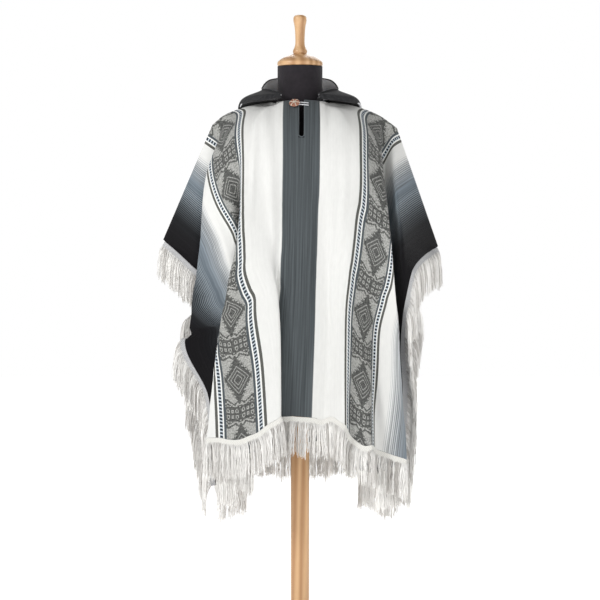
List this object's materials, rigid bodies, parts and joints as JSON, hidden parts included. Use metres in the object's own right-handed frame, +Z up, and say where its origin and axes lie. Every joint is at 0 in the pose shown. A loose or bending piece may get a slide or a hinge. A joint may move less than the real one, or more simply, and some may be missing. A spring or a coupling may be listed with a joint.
{
  "type": "andean poncho on a limbless dress form and stand",
  "caption": "Hooded Andean poncho with striped and figured bands and fringed edges, draped on a limbless dress form on a turned wooden stand.",
  "frame": {"origin": "centre of the base's flat underside, on the pole's axis", "axes": "+Z up along the pole, -Y the way the front of the garment faces, +X to the viewer's right of the front"},
  "size_m": [0.7516, 0.4569, 1.7003],
  "materials": {
    "striped_weave": "brushed plain weave, white with slate, grey and black warp stripes and figured bands",
    "fringe_yarn": "soft twisted off-white yarn, matte",
    "hood_felt": "brushed near-black cloth with a light ribbed facing",
    "laced_button": "copper-brown, semi-gloss, with cream lacing",
    "elastic_cord": "white braided elastic",
    "form_jersey": "stretched black jersey, matte",
    "turned_wood": "satin varnished light wood"
  },
  "bodies": {
    "root": {"front": "striped_weave", "back": "striped_weave", "hood": "hood_felt", "fringe_front": "fringe_yarn", "fringe_back": "fringe_yarn", "fringe_left_front": "fringe_yarn", "fringe_left_back": "fringe_yarn", "fringe_right_front": "fringe_yarn", "fringe_right_back": "fringe_yarn", "button": "laced_button", "button_loop": "elastic_cord", "torso": "form_jersey", "neck_cap": "turned_wood", "finial": "turned_wood", "pole": "turned_wood", "base": "turned_wood"}
  },
  "joints": []
}
